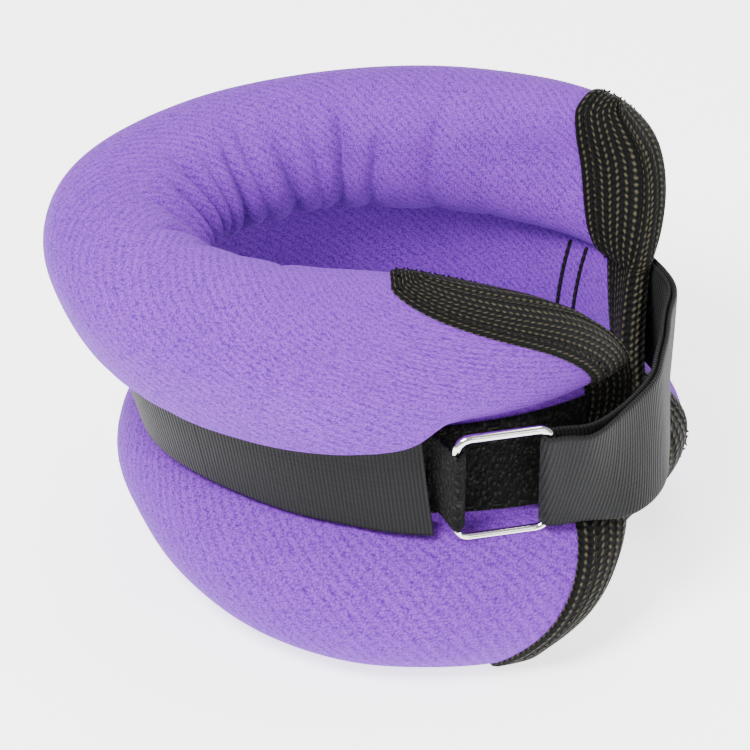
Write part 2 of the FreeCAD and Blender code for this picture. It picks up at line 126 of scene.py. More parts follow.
# One turn round the section: up the outer face, over the top, down the inner face.
arc = np.radians(np.linspace(-90, 90, 35))
band_z = np.linspace(BAND[0], BAND[1], 9)[1:-1]
low_z = (BAND[0] + BOTTOM) / 2 + (BAND[0] - BOTTOM) / 2 * np.sin(arc)
high_z = (TOP + BAND[1]) / 2 + (TOP - BAND[1]) / 2 * np.sin(arc)
side_z = np.concatenate([low_z, band_z, high_z])
far = np.cos(arc)
near = np.cos(arc)**1.4
side_share = np.concatenate([np.where(arc < 0, far, near), 0 * band_z,
                             np.where(arc > 0, far, near)])
side_base = np.concatenate([np.where(arc < 0, 0, BAND_HALF), 0 * band_z + BAND_HALF,
                            np.where(arc > 0, 0, BAND_HALF)])
side_turn = np.degrees(np.concatenate([-arc, 0 * band_z - math.pi / 2, arc]))
loop_z = np.concatenate([side_z, side_z[-2:0:-1]])
loop_share = np.concatenate([side_share, side_share[-2:0:-1]])
loop_base = np.concatenate([side_base, side_base[-2:0:-1]])
loop_turn = np.concatenate([side_turn, side_turn[-2:0:-1]])
loop_face = np.ones(len(loop_z))
loop_face[len(side_z):] = -1

# Where the puckers lie round the wrap, in degrees, and how deep each one is in mm.
PUCKERS = [(62, 1.4), (74, 3.2), (89, 4.4), (100, 5.6), (108, 2.6), (116, 6.4), (126, 3.8),
           (134, 6.6), (144, 4.2), (152, 5.6), (162, 8.0), (171, 3.8), (181, 5.8),
           (192, 3.6), (203, 4.8), (216, 3.6), (230, 2.8), (245, 2.0)]


def gathers(angle, turn, face):
    """Depth of the puckers on the inner face, from the sewn band up over each pocket."""
    depth = 0 * angle
    for place, (at, deep) in enumerate(PUCKERS):
        sway = at + 1.6 * np.sin(np.radians(turn * 1.3 + 70 * place))
        reach = 30 + 26 * (math.sin(2.3 * place) * 0.5 + 0.5)
        held = ramp(turn, -90, -70) * (1 - ramp(turn, reach - 30, reach + 38))
        aside = np.sqrt((angle - sway)**2 + 0.35) / (1.3 + 0.16 * deep)
        depth = depth + deep * held * np.exp(-aside)
    return np.where(face < 0, depth, 0)


def left_bow(angle):
    """How far the strap bows out at the left, where the cuff is narrowest."""
    return 5.0 * np.exp(-((angle - 203.0) / 24.0)**2)


def strap_reach(angle):
    """How far out the strap or the ring stands at each plan angle, with room to spare."""
    return 9.6 + left_bow(angle) + 2.0 * ramp(angle, 262, 282) + 4.9 * ramp(angle, 277, 289)


def sleeve_grid(s, inset=0.0, puckered=True):
    """Rows of points round the sleeve at the shares s of its length, in mm."""
    s = np.asarray(s, float)[:, None]
    z = np.broadcast_to(loop_z[None, :], (len(s), len(loop_z)))
    angle = angle_at(s, z)
    share = np.broadcast_to(loop_share[None, :], z.shape)
    overhang = (loop_z > BAND[1]) & (loop_turn < 0) & (loop_face > 0)
    fuller = 1 - 0.36 * (1 - ramp(angle, 276, 289)) * ramp(angle, -5, 25)
    share = np.where(overhang, share**fuller, share)
    bulge = loop_base + (swell(np.clip(s, 0, 1)) - loop_base) * share
    clear = strap_reach(angle)
    sag = 8.5 - 6.0 * ramp(angle, 274, 289) - 4.0 * (1 - ramp(angle, 20, 60))
    sag = sag * ramp(bulge, clear, clear + 7) * ramp(-loop_turn, 0, 62)
    z = z - np.where(overhang, sag, 0)
    along = s * SLEEVE
    lumps = np.sin(along / 13.0 + z / 9.0) * np.sin(along / 19.0 - z / 15.0 + 1.0)
    lumps = lumps + 0.6 * np.sin(along / 7.3 - z / 11.0 + 2.0) * np.sin(along / 31.0)
    bulge = bulge + 0.35 * lumps * loop_share * ramp(np.minimum(s, 1 - s), 0.02, 0.12)
    if puckered:
        tuck = gathers(angle, loop_turn[None, :], loop_face[None, :])
        bulge = bulge - tuck
        upward = np.where(loop_z > BAND[1], 1, 0) * np.sin(np.radians(np.maximum(loop_turn, 0)))
        z = z - 0.9 * tuck * upward
    bulge = np.maximum(bulge - inset, np.minimum(bulge, 0.3))
    point, normal = sheet(angle, loop_z[None, :])
    point[..., 2] = z
    point = point + normal * (bulge * loop_face)[..., None]
    point[..., 2] = np.maximum(point[..., 2], 0.0)
    return point


def grid_normals(grid, closed=True):
    """Smooth outward normals of a grid of points, rows by columns."""
    along = np.gradient(grid, axis=0)
    if closed:
        round_it = np.roll(grid, -1, axis=1) - np.roll(grid, 1, axis=1)
    else:
        round_it = np.gradient(grid, axis=1)
    normal = np.cross(along, round_it)
    length = np.linalg.norm(normal, axis=-1, keepdims=True)
    return normal / np.maximum(length, 1e-9)


def spread(grid):
    """Distances in mm along the rows and across the columns, used as the cloth's own
    coordinates, so that every weave is drawn in millimetres."""
    rows = np.linalg.norm(np.diff(grid, axis=0), axis=-1).mean(axis=1)
    columns = np.linalg.norm(np.diff(grid, axis=1, append=grid[:, :1]), axis=-1).mean(axis=0)
    u = np.concatenate([[0], np.cumsum(rows)])
    v = np.concatenate([[0], np.cumsum(columns)])
    return np.stack(np.broadcast_arrays(u[:, None], v[None, :]), axis=-1)


def skin(name, grid, uv, material, normals=None, caps=(True, True)):
    """Closed tube of quads through rows of points in mm, with caps on its two ends."""
    rows, columns = grid.shape[:2]
    index = np.arange(rows * columns).reshape(rows, columns)
    index = np.concatenate([index, index[:, :1]], axis=1)
    corners = [(slice(0, -1), slice(0, -1)), (slice(1, None), slice(0, -1)),
               (slice(1, None), slice(1, None)), (slice(0, -1), slice(1, None))]
    quads = np.stack([index[c] for c in corners], axis=-1).reshape(-1, 4)
    places = np.stack([uv[c] for c in corners], axis=-2).reshape(-1, 4, 2)
    flat = grid.reshape(-1, 3) * MM
    centre = flat.mean(axis=0)
    a, b, c = (flat[quads[:, k]] - centre for k in (0, 1, 2))
    inside_out = np.einsum("ij,ij->i", a, np.cross(b, c)).sum() < 0
    if inside_out:
        quads = quads[:, ::-1]
        places = places[:, ::-1]
    faces = quads.tolist()
    places = list(places.reshape(-1, 2))
    for end, row in ((0, 0), (1, rows - 1)):
        if caps[end]:
            ring = index[row, :-1]
            lay = uv[row, :-1]
            if (end == 0) == inside_out:
                ring = ring[::-1]
                lay = lay[::-1]
            faces.append(ring[::-1].tolist())
            places.extend(lay[::-1])
    mesh = bpy.data.meshes.new(name)
    mesh.from_pydata(flat.tolist(), [], faces)
    layer = mesh.uv_layers.new(name="cloth_mm")
    layer.data.foreach_set("uv", np.array(places, np.float32).ravel())
    smooth = np.ones(len(faces), bool)
    smooth[len(quads):] = False
    mesh.polygons.foreach_set("use_smooth", smooth)
    mesh.update()
    if normals is not None:
        mesh.normals_split_custom_set_from_vertices(normals.reshape(-1, 3).tolist())
    mesh.materials.append(material)
    piece = bpy.data.objects.new(name, mesh)
    bpy.context.scene.collection.objects.link(piece)
    return piece


def linear(hexa):
    """sRGB hex colour as linear RGBA."""
    parts = [int(hexa[i:i + 2], 16) / 255 for i in (1, 3, 5)]
    return [p / 12.92 if p <= 0.04045 else ((p + 0.055) / 1.055)**2.4 for p in parts] + [1.0]


def finish_of(name):
    """New material with an empty node tree."""
    material = bpy.data.materials.new(name)
    material.use_nodes = True
    material.node_tree.nodes.clear()
    return material


def node(material, kind, inputs=None, **settings):
    """Adds one node with its settings; inputs are values or other nodes' outputs."""
    made = material.node_tree.nodes.new(kind)
    for key, value in settings.items():
        setattr(made, key, value)
    for socket, value in (inputs or {}).items():
        if isinstance(value, bpy.types.NodeSocket):
            material.node_tree.links.new(value, made.inputs[socket])
        else:
            made.inputs[socket].default_value = value
    return made


# A wave texture repeats once in this many units at scale 1.
WAVE = 0.314

# Knit-faced neoprene: a matt nylon jersey on foam rubber. Its loops are about 0.6 mm, drawn
# as cells; the surface looks soft, slightly brighter at grazing angles, with faint rows.
knit = finish_of("neoprene_knit_face_purple")
place = node(knit, "ShaderNodeUVMap", uv_map="cloth_mm")
loops = node(knit, "ShaderNodeTexVoronoi", {"Vector": place.outputs["UV"], "Scale": 1 / 0.6,
                                            "Randomness": 0.75}, feature="F1")
grain = node(knit, "ShaderNodeTexNoise", {"Vector": place.outputs["UV"], "Scale": 1 / 0.42,
                                          "Detail": 3.0, "Roughness": 0.65})
rows = node(knit, "ShaderNodeTexWave", {"Vector": place.outputs["UV"], "Scale": WAVE / 1.7,
                                        "Distortion": 1.2, "Detail": 1.0, "Detail Scale": 0.5},
            wave_type="BANDS", bands_direction="DIAGONAL")
patches = node(knit, "ShaderNodeTexNoise", {"Vector": place.outputs["UV"], "Scale": 1 / 22,
                                            "Detail": 2.0})
lift = node(knit, "ShaderNodeMath", {0: loops.outputs["Distance"], 1: -0.9}, operation="MULTIPLY")
height = node(knit, "ShaderNodeMath", {0: grain.outputs["Fac"], 1: 1.1, 2: lift.outputs[0]},
              operation="MULTIPLY_ADD")
height = node(knit, "ShaderNodeMath", {0: rows.outputs["Fac"], 1: 0.16, 2: height.outputs[0]},
              operation="MULTIPLY_ADD")
tone = node(knit, "ShaderNodeMapRange", {"Value": height.outputs[0], "From Min": -0.25,
                                         "From Max": 0.6, "To Min": 0.0, "To Max": 1.0})
colour = node(knit, "ShaderNodeMix", {"Factor": tone.outputs["Result"], "A": linear("#430E7C"),
                                      "B": linear("#883EC0")}, data_type="RGBA")
shade = node(knit, "ShaderNodeMapRange", {"Value": patches.outputs["Fac"], "From Min": 0.3,
                                          "From Max": 0.7, "To Min": 0.0, "To Max": 0.14})
colour = node(knit, "ShaderNodeMix", {"Factor": shade.outputs["Result"],
                                      "A": colour.outputs["Result"], "B": linear("#4C1688")},
              data_type="RGBA")
bump = node(knit, "ShaderNodeBump", {"Height": height.outputs[0], "Strength": 0.35,
                                     "Distance": 0.35 * MM})
surface = node(knit, "ShaderNodeBsdfPrincipled",
               {"Base Color": colour.outputs["Result"], "Roughness": 0.82,
                "Specular IOR Level": 0.12, "Sheen Weight": 0.06, "Sheen Roughness": 0.5,
                "Sheen Tint": linear("#D9C6FF"), "Normal": bump.outputs["Normal"]})
node(knit, "ShaderNodeOutputMaterial", {"Surface": surface.outputs["BSDF"]})

last_row = 590
rear_split = 80
front_split = 510
shares = np.interp(np.arange(last_row + 1), [0, 40, rear_split, 500, 550, last_row],
                   [0, 0.065, 0.2, 0.735, 0.935, 1])
sleeve = sleeve_grid(shares)
sleeve_normals = grid_normals(sleeve)
sleeve_uv = spread(sleeve)
BEND = {"start": (0, 0.031, 0), "end": (0, -0.021, 0)}
for name, first, last, caps in (("sleeve_rear_arm", 0, rear_split, (True, False)),
                                ("sleeve_left_bend", rear_split, front_split, (False, False)),
                                ("sleeve_front_arm", front_split, last_row, (False, True))):
    rows = slice(first, last + 1)
    piece = skin(name, sleeve[rows], sleeve_uv[rows], knit, sleeve_normals[rows], caps)
    if name == "sleeve_left_bend":
        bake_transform(piece)
    else:
        half = "rear" if first == 0 else "front"
        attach(piece, half + "_half")
        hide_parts("cover_" + half)

# Shot bags. Each pocket holds a plain woven cotton bag, filled with loose iron sand and
# sewn shut; it is pushed in at the end before the binding goes on, and follows the pocket.
def bag_grid(s, level, inset):
    """Rows of points round one bag, drawn in from the sleeve's own skin."""
    full = sleeve_grid(s, inset)
    lower = len(low_z)
    across = len(side_z)
    pick = list(range(lower)) + list(range(2 * across - 1 - lower, 2 * across - 2))
    if level == "upper":
        pick = list(range(across - lower, across + lower - 2))
    rows = full[:, pick]
    middle = rows.mean(axis=1, keepdims=True)
    rows[..., 2:] = middle[..., 2:] + (rows[..., 2:] - middle[..., 2:]) * (1 - inset / 20.0)
    return rows


# Unbleached cotton, plain woven: pale and quite matt, with a grid of threads 1.2 mm apart,
# coarser than real ones so that it shows.
cotton = finish_of("liner_cotton_plain_weave")
place = node(cotton, "ShaderNodeUVMap", uv_map="cloth_mm")
weave = node(cotton, "ShaderNodeTexBrick", {"Vector": place.outputs["UV"], "Scale": 1 / 1.2,
                                            "Color1": linear("#D8D4C6"),
                                            "Color2": linear("#C4BFAE"),
                                            "Mortar": linear("#A39E8E"), "Mortar Size": 0.08})
surface = node(cotton, "ShaderNodeBsdfPrincipled", {"Base Color": weave.outputs["Color"],
                                                    "Roughness": 0.9})
node(cotton, "ShaderNodeOutputMaterial", {"Surface": surface.outputs["BSDF"]})

# Iron sand: dark grey grains of about 0.8 mm, each with a dull metal glint.
sand = finish_of("iron_sand_loose")
place = node(sand, "ShaderNodeUVMap", uv_map="cloth_mm")
grit = node(sand, "ShaderNodeTexVoronoi", {"Vector": place.outputs["UV"], "Scale": 1 / 0.8})
tone = node(sand, "ShaderNodeValToRGB", {"Fac": grit.outputs["Distance"]})
tone.color_ramp.elements[0].color = linear("#5B5754")
tone.color_ramp.elements[1].color = linear("#2A2725")
surface = node(sand, "ShaderNodeBsdfPrincipled", {"Base Color": tone.outputs["Color"],
                                                  "Roughness": 0.55, "Metallic": 0.6})
node(sand, "ShaderNodeOutputMaterial", {"Surface": surface.outputs["BSDF"]})

bag_ends = {"rear": (0.045, shares[rear_split]), "left": (shares[rear_split], shares[front_split]),
            "front": (shares[front_split], 0.955)}
for level in ("lower", "upper"):
    for kind, inset, cloth in (("liner", 4.2, cotton), ("fill", 5.0, sand)):
        for part, (first, last) in bag_ends.items():
            rows = bag_grid(np.linspace(first, last, 40), level, inset)
            closed = (part == "rear", part == "front")
            name = "shot_bag_%s_%s_%s" % (kind, level, part)
            piece = skin(name, rows, spread(rows), cloth, None, closed)
            if part == "left":
                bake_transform(piece)
            else:
                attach(piece, part + "_half")
                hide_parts("%s_%s_%s" % (kind, level, part))

# Loop-pile strip. Fuzzy black nylon loops on a tape 25 mm wide, sewn along the outside of
# the band for its whole length with a row of stitches near each edge.
PILE_LOW = 43.0
PILE_HIGH = 68.0
ACROSS = np.array([0.995, 0.98, 0.95, 0.9, 0.8])
ACROSS = np.concatenate([-np.array([1.0]), -ACROSS, np.linspace(-0.7, 0.7, 15),
                         ACROSS[::-1], [1.0]])
EDGE = np.sqrt(1 - np.minimum(np.abs(ACROSS), 1)**30)


def ribbon(middle, outward, half, fuzz=None):
    """Rows round a flat tape with soft edges, from its middle surface; columns run over
    the outer face from the lower edge to the upper and back down the inner face."""
    reach = (EDGE * half)[None, :, None] * outward
    outer = middle + reach
    if fuzz is not None:
        outer = outer + fuzz[..., None] * outward
    inner = (middle - reach)[:, -2:0:-1]
    return np.concatenate([outer, inner], axis=1)


def tape_uv(middle):
    """Distances in mm along and across a tape, the same on both of its faces."""
    line = middle[:, middle.shape[1] // 2]
    u = np.concatenate([[0], np.cumsum(np.linalg.norm(np.diff(line, axis=0), axis=-1))])
    width = np.linalg.norm(middle[0, -1] - middle[0, 0])
    v = (ACROSS + 1) / 2 * width
    v = np.concatenate([v, v[-2:0:-1], v[:1]])
    return np.stack(np.broadcast_arrays(u[:, None], v[None, :]), axis=-1)


def laid(angles, low, high, out):
    """Middle surface and normals of a tape laid on the band between two heights."""
    z = low + (high - low) * (ACROSS + 1) / 2
    point, normal = sheet(angles, np.broadcast_to(z, (len(angles), len(z))))
    stand = out(np.asarray(angles, float)) if callable(out) else out
    return point + normal * np.asarray(stand)[..., None], normal


def along_band(first, last, count):
    """Plan angles for each row of a tape that starts or stops along a leaning seam."""
    z = PILE_LOW + (PILE_HIGH - PILE_LOW) * (ACROSS + 1) / 2
    ends = [angle_at(e, z) if e <= 1 else 0 * z + e for e in (first, last)]
    share = np.linspace(0, 1, count)[:, None]
    return ends[0] + (ends[1] - ends[0]) * share


# Knitted nylon loops, brushed: a deep matt black, with small grey highlights painted into
# its colour where loops about 1.1 mm apart stand proud.
pile = finish_of("loop_pile_nylon_black")
place = node(pile, "ShaderNodeUVMap", uv_map="cloth_mm")
tufts = node(pile, "ShaderNodeTexNoise", {"Vector": place.outputs["UV"], "Scale": 1 / 1.1,
                                          "Detail": 6.0, "Roughness": 0.8})
curls = node(pile, "ShaderNodeTexVoronoi", {"Vector": place.outputs["UV"], "Scale": 1 / 1.3})
height = node(pile, "ShaderNodeMath", {0: tufts.outputs["Fac"], 1: curls.outputs["Distance"]},
              operation="SUBTRACT")
tone = node(pile, "ShaderNodeMapRange", {"Value": height.outputs[0], "From Min": 0.1,
                                         "From Max": 0.55})
# The grey on the proud loops is painted highlight.
colour = node(pile, "ShaderNodeMix", {"Factor": tone.outputs["Result"], "A": linear("#050505"),
                                      "B": linear("#3A382F")}, data_type="RGBA")
bump = node(pile, "ShaderNodeBump", {"Height": height.outputs[0], "Strength": 1.0,
                                     "Distance": 1.2 * MM})
surface = node(pile, "ShaderNodeBsdfPrincipled",
               {"Base Color": colour.outputs["Result"], "Roughness": 0.9,
                "Specular IOR Level": 0.08, "Sheen Weight": 0.04, "Sheen Roughness": 0.5,
                "Normal": bump.outputs["Normal"]})
node(pile, "ShaderNodeOutputMaterial", {"Surface": surface.outputs["BSDF"]})

seed = np.random.default_rng(11)
for name, first, last in (("pile_rear_arm", 14.5 / SLEEVE, 90), ("pile_left_bend", 90, 270),
                          ("pile_front_arm", 270, 1 - 14.5 / SLEEVE)):
    angles = along_band(first, last, 150)
    middle, outward = laid(angles, PILE_LOW, PILE_HIGH, 3.4)
    fuzz = seed.normal(0, 0.22, middle.shape[:2]) + 0.15
    rows = ribbon(middle, outward, 0.8, np.clip(fuzz, -0.3, 0.7) * EDGE)
    piece = skin(name, rows, tape_uv(middle), pile)
    if name == "pile_left_bend":
        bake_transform(piece)
    else:
        half = "rear" if "rear" in name else "front"
        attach(piece, half + "_half")
        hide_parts("pile_strip_" + half)

# Thread. Bonded black polyester, about 0.5 mm thick: two rows along the pile strip, rows
# round both bindings, short rows on the ring tab and two upright rows at the strap's root.
# Twisted and bonded thread: black with a faint gleam on each 0.6 mm turn, partly painted as lighter
# bands.
thread = finish_of("bonded_polyester_thread_black")
place = node(thread, "ShaderNodeUVMap", uv_map="cloth_mm")
twist = node(thread, "ShaderNodeTexWave", {"Vector": place.outputs["UV"], "Scale": WAVE / 0.6},
             wave_type="BANDS", bands_direction="DIAGONAL")
bump = node(thread, "ShaderNodeBump", {"Height": twist.outputs["Fac"], "Strength": 0.5,
                                       "Distance": 0.1 * MM})
# The lighter bands along the twist are painted gleam.
colour = node(thread, "ShaderNodeMix", {"Factor": twist.outputs["Fac"], "A": linear("#060606"),
                                        "B": linear("#100F0E")}, data_type="RGBA")
surface = node(thread, "ShaderNodeBsdfPrincipled",
               {"Base Color": colour.outputs["Result"], "Roughness": 0.5,
                "Specular IOR Level": 0.15, "Normal": bump.outputs["Normal"]})
node(thread, "ShaderNodeOutputMaterial", {"Surface": surface.outputs["BSDF"]})


def stitches(name, points, directions, outward, length=3.6, radius=0.42):
    """One piece of many stitches: each a short thread that dives in at both ends."""
    turns = np.linspace(0, 2 * math.pi, 8, endpoint=False)
    spans = np.linspace(-1, 1, 7)
    vertices = []
    faces = []
    places = []
    for point, along, out in zip(points, directions, outward):
        across = np.cross(along, out)
        base = len(vertices)
        for span in spans:
            sink = -1.3 * radius * span**4
            middle = point + along * (span * length / 2) + out * (sink + radius * 0.35)
            for turn in turns:
                ring = across * math.cos(turn) + out * math.sin(turn)
                vertices.append((middle + ring * radius) * MM)
        for i in range(len(spans) - 1):
            for j in range(8):
                k = (j + 1) % 8
                faces.append([base + i * 8 + j, base + i * 8 + k,
                              base + i * 8 + 8 + k, base + i * 8 + 8 + j])
                edge = [(i, j), (i, j + 1), (i + 1, j + 1), (i + 1, j)]
                places.extend((length * a / 6, radius * b) for a, b in edge)
    mesh = bpy.data.meshes.new(name)
    mesh.from_pydata(vertices, [], faces)
    layer = mesh.uv_layers.new(name="cloth_mm")
    layer.data.foreach_set("uv", np.array(places, np.float32).ravel())
    mesh.polygons.foreach_set("use_smooth", np.ones(len(faces), bool))
    mesh.materials.append(thread)
    piece = bpy.data.objects.new(name, mesh)
    bpy.context.scene.collection.objects.link(piece)
    return piece


def unit(vectors):
    return vectors / np.linalg.norm(vectors, axis=-1, keepdims=True)


for name, first, last in (("pile_stitches_rear", 24, 88), ("pile_stitches_left", 92, 268),
                          ("pile_stitches_front", 272, 306)):
    count = int((last - first) * 1.06 / 4.6)
    angles = np.tile(np.linspace(first, last, count), 2)
    heights = np.repeat([44.6, 66.4], count)
    point, outward = sheet(angles, heights)
    direction = unit(sheet(angles + 0.5, heights)[0] - sheet(angles - 0.5, heights)[0])
    piece = stitches(name, point + outward * 4.2, direction, outward)
    if name == "pile_stitches_left":
        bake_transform(piece)
    else:
        half = name.split("_")[-1]
        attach(piece, half + "_half")
        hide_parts("pile_stitching_" + half)

root_angle = 36.0
heights = np.tile(np.arange(42.5, 70, 2.5), 2)
point, outward = sheet(root_angle, heights)
direction = unit(sheet(root_angle, heights + 0.5)[0] - sheet(root_angle, heights - 0.5)[0])
sideways = unit(sheet(root_angle + 0.5, heights)[0] - sheet(root_angle - 0.5, heights)[0])
shift = np.repeat([-3.0, 3.0], len(heights) // 2)[:, None]
piece = stitches("root_stitches", point + sideways * shift - outward * 2.5, direction, -outward,
                 length=2.9, radius=0.62)
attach(piece, "rear_half")
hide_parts("strap_root_stitching")

# End bindings. Ribbed black tape folded over each sewn end and stitched through; it covers
# 14 mm of both faces from the bottom of the lower pocket to the top of the upper one.
def binding_rows(half):
    """Rows of points of a binding, from its lip on the sleeve out over the end."""
    flat_rows = 14
    distance = np.concatenate([[14.2, 14.1, 13.7], np.linspace(13.0, 0.0, flat_rows)])
    s = distance / SLEEVE
    s = s if half == "rear" else 1 - s
    base = sleeve_grid(np.concatenate([s[:1], s]), puckered=False)[1:]
    normal = grid_normals(base)
    if half == "rear":
        normal = -normal
    proud = np.concatenate([[-0.4, 0.5, 0.95], np.full(flat_rows, 1.15)])
    rows = [point + face * lift for point, face, lift in zip(base, normal, proud)]
    inward = base[-1] - base[-2]
    inward = unit(inward.mean(axis=0))
    spine = sheet(angle_at(np.full((1, 1), s[-1]), loop_z[None, :]), loop_z[None, :])[0][0]
    rim = rows[-1]
    for turn in (25, 50, 70, 84, 90):
        t = math.radians(turn)
        rows.append(spine + (rim - spine) * math.cos(t) + inward * (2.4 * math.sin(t)))
    rows = np.array(rows)
    rows[..., 2] = np.maximum(rows[..., 2], 0)
    return rows


# Woven polyester tape: ribs 2 mm apart laid in chevrons over cords 2.3 mm apart. It is
# black, with olive-grey highlights painted into its colour where the ribs stand up.
binding = finish_of("binding_tape_polyester_ribbed_black")
place = node(binding, "ShaderNodeUVMap", uv_map="cloth_mm")
parts = node(binding, "ShaderNodeSeparateXYZ", {"Vector": place.outputs["UV"]})
chevron = node(binding, "ShaderNodeMath", {0: parts.outputs["X"], 1: 4.6}, operation="PINGPONG")
slant = node(binding, "ShaderNodeMath", {0: chevron.outputs[0], 1: 0.55, 2: parts.outputs["Y"]},
             operation="MULTIPLY_ADD")
phase = node(binding, "ShaderNodeMath", {0: slant.outputs[0], 1: 2 * math.pi / 2.0},
             operation="MULTIPLY")
ribs = node(binding, "ShaderNodeMath", {0: phase.outputs[0]}, operation="SINE")
rope = node(binding, "ShaderNodeMath", {0: parts.outputs["X"], 1: 2 * math.pi / 2.3},
            operation="MULTIPLY")
cords = node(binding, "ShaderNodeMath", {0: rope.outputs[0]}, operation="SINE")
flecks = node(binding, "ShaderNodeTexNoise", {"Vector": place.outputs["UV"], "Scale": 1 / 0.9,
                                              "Detail": 3.0, "Roughness": 0.7})
height = node(binding, "ShaderNodeMath", {0: ribs.outputs[0], 1: 0.5, 2: cords.outputs[0]},
              operation="MULTIPLY_ADD")
height = node(binding, "ShaderNodeMath", {0: flecks.outputs["Fac"], 1: 2.0,
                                          2: height.outputs[0]}, operation="MULTIPLY_ADD")
tone = node(binding, "ShaderNodeMapRange", {"Value": height.outputs[0], "From Min": 1.45,
                                            "From Max": 2.9})
# The olive-grey colour on the highest ribs is painted highlight.
colour = node(binding, "ShaderNodeMix", {"Factor": tone.outputs["Result"],
                                         "A": linear("#030303"), "B": linear("#5A5542")},
              data_type="RGBA")
bump = node(binding, "ShaderNodeBump", {"Height": height.outputs[0], "Strength": 0.9,
                                        "Distance": 0.5 * MM})
surface = node(binding, "ShaderNodeBsdfPrincipled",
               {"Base Color": colour.outputs["Result"], "Roughness": 0.7,
                "Specular IOR Level": 0.15, "Normal": bump.outputs["Normal"]})
node(binding, "ShaderNodeOutputMaterial", {"Surface": surface.outputs["BSDF"]})

for half in ("rear", "front"):
    rows = binding_rows(half)
    piece = skin("end_binding_tape_" + half, rows, spread(rows), binding, None, (False, False))
    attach(piece, half + "_half")
    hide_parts("end_binding_" + half)
    sewn = 6
    row = rows[sewn]
    face = grid_normals(rows)[sewn] * (1 if half == "rear" else -1)
    steps = np.linalg.norm(np.diff(row, axis=0, append=row[:1]), axis=-1)
    travel = np.concatenate([[0], np.cumsum(steps)])
    marks = np.arange(1.0, travel[-1], 4.4)
    marks = marks[np.interp(marks, travel, np.append(row[:, 2], row[0, 2])) > 3.0]
    points = np.stack([np.interp(marks, travel, np.append(row[:, k], row[0, k]))
                       for k in range(3)], axis=-1)
    faces = unit(np.stack([np.interp(marks, travel, np.append(face[:, k], face[0, k]))
                           for k in range(3)], axis=-1))
    nearby = np.stack([np.interp(np.minimum(marks + 1, travel[-1]), travel,
                                 np.append(row[:, k], row[0, k])) for k in range(3)], axis=-1)
    piece = stitches("binding_stitches_" + half, points, unit(nearby - points), faces,
                     length=3.2, radius=0.34)
    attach(piece, half + "_half")
    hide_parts("binding_stitching_" + half)

# Strap. One length of 30 mm polypropylene webbing, 1.5 mm thick. It is sewn to the band
# under the rear end, crosses the gap, turns back round the ring's right bar, crosses the gap
# again and runs right round the cuff to a loose tail that the hook tape holds down.
STRAP_LOW = 40.5
STRAP_HIGH = 70.5
TAIL_END = 281.5
WIRE_RADIUS = 1.25
ALONG = np.array([0.9765, 0.2156, 0.0])
OUT = np.array([0.2156, -0.9765, 0.0])
RIGHT_BAR = np.array([47.89, -59.23, 55.5])
LEFT_BAR = np.array([21.91, -64.97, 55.5])
GAP_LOW = np.array([(93.0, 5), (93.2, -8), (92.8, -22), (91.8, -36.2), (89.3, -49.4),
                    (80.4, -60.8)]) + [-8.94, 3.89]
GAP_HIGH = np.array([(95.3, 8), (93.6, -4), (91.9, -16), (89.7, -27.3), (86.8, -38.2),
                     (78.6, -51.4)]) + [-8.94, 3.89]
UP = np.array([0.0, 0.0, 1.0])


def smooth_line(points, count):
    """Evenly spaced points on a natural cubic curve through the given ones."""
    n = len(points)
    matrix = np.eye(n) * 4
    matrix[0, 0] = matrix[-1, -1] = 2
    for i in range(n - 1):
        matrix[i, i + 1] = matrix[i + 1, i] = 1
    after = points[np.minimum(np.arange(n) + 1, n - 1)]
    before = points[np.maximum(np.arange(n) - 1, 0)]
    slopes = np.linalg.solve(matrix, 3 * (after - before))
    t = np.linspace(0, 1, 13)[:-1, None]
    line = []
    for i in range(n - 1):
        line.append((2 * t**3 - 3 * t**2 + 1) * points[i] + (t**3 - 2 * t**2 + t) * slopes[i]
                    + (3 * t**2 - 2 * t**3) * points[i + 1] + (t**3 - t**2) * slopes[i + 1])
    line = np.concatenate(line + [points[-1:]])
    travel = np.concatenate([[0], np.cumsum(np.linalg.norm(np.diff(line, axis=0), axis=-1))])
    marks = np.linspace(0, travel[-1], count)
    return np.stack([np.interp(marks, travel, line[:, k]) for k in range(3)], axis=-1)


def strap_stand(angle):
    """How far the strap's middle stands off the band: it bows out at the left and end."""
    return 7.25 + left_bow(angle) + 2.5 * ramp(angle, 262, 282)


def strap_line(z):
    """The strap's path at one height, from its root to the end of its tail."""
    share = (z - STRAP_LOW) / (STRAP_HIGH - STRAP_LOW)
    gap = GAP_LOW + (GAP_HIGH - GAP_LOW) * share
    gap = np.column_stack([gap, np.full(len(gap), z)])
    walk = np.gradient(gap, axis=0)
    outward = unit(np.cross(UP, walk))
    root = np.linspace(41, 17, 5)
    point, normal = sheet(root, z)
    path = list(point + normal * 5.45)
    path.extend(gap - outward * 2.55)
    bar = RIGHT_BAR + UP * (z - RIGHT_BAR[2])
    wrap = WIRE_RADIUS + 1.05
    path.extend(bar + ALONG * along - OUT * wrap for along in (12.0, 5.0))
    for turn in (-90, -45, 0, 45, 90):
        t = math.radians(turn)
        path.append(bar - ALONG * (wrap * math.cos(t)) + OUT * (wrap * math.sin(t)))
    path.extend(bar + ALONG * along + OUT * wrap for along in (5.0, 12.0))
    path.extend((gap - outward * 0.75)[::-1])
    run = np.linspace(17, TAIL_END - 2.5 * share, 34)
    point, normal = sheet(run, z)
    path.extend(point + normal * strap_stand(run)[:, None])
    return np.array(path)


